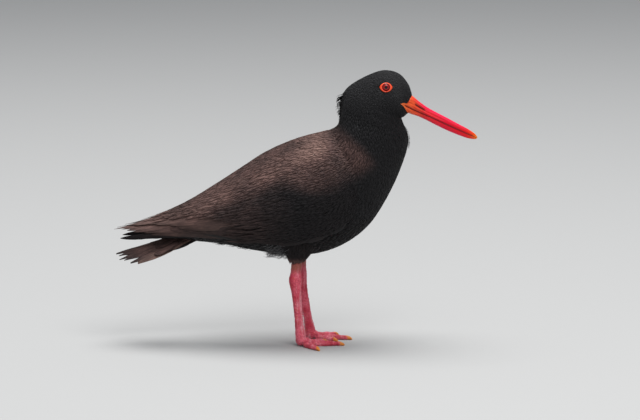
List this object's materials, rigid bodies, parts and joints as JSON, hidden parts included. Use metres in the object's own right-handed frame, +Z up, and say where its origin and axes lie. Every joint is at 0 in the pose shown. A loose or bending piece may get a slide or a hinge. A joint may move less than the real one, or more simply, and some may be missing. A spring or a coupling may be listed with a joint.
{
  "type": "oystercatcher",
  "caption": "Life-size standing all-black oystercatcher with folded wings, long red bill and stout pink legs, a still museum-style model.",
  "frame": {"origin": "on the floor, under the middle of the bird's bounding box", "axes": "+X the way the bird faces, +Y its left side, +Z up"},
  "size_m": [0.3986, 0.1122, 0.3015],
  "materials": {
    "plumage": "matt black body feathers",
    "wing": "brown-black flight feathers with a faint sheen",
    "bill": "smooth orange-red horn",
    "eye": "wet red iris with a black pupil",
    "lid": "bare orange-red eye ring",
    "leg": "scaly pink-red skin",
    "claw": "short amber claws"
  },
  "bodies": {
    "root": {"torso": "plumage", "neck": "plumage", "head": "plumage", "bill_upper": "bill", "bill_lower": "bill", "wing_left": "wing", "wing_right": "wing", "tail": "wing", "eye_left": "eye", "eyelid_left": "lid", "thigh_left": "plumage", "shank_left": "leg", "tarsus_left": "leg", "toe_inner_left": "leg", "claw_inner_left": "claw", "toe_middle_left": "leg", "claw_middle_left": "claw", "toe_outer_left": "leg", "claw_outer_left": "claw", "eye_right": "eye", "eyelid_right": "lid", "thigh_right": "plumage", "shank_right": "leg", "tarsus_right": "leg", "toe_inner_right": "leg", "claw_inner_right": "claw", "toe_middle_right": "leg", "claw_middle_right": "claw", "toe_outer_right": "leg", "claw_outer_right": "claw"}
  },
  "joints": []
}
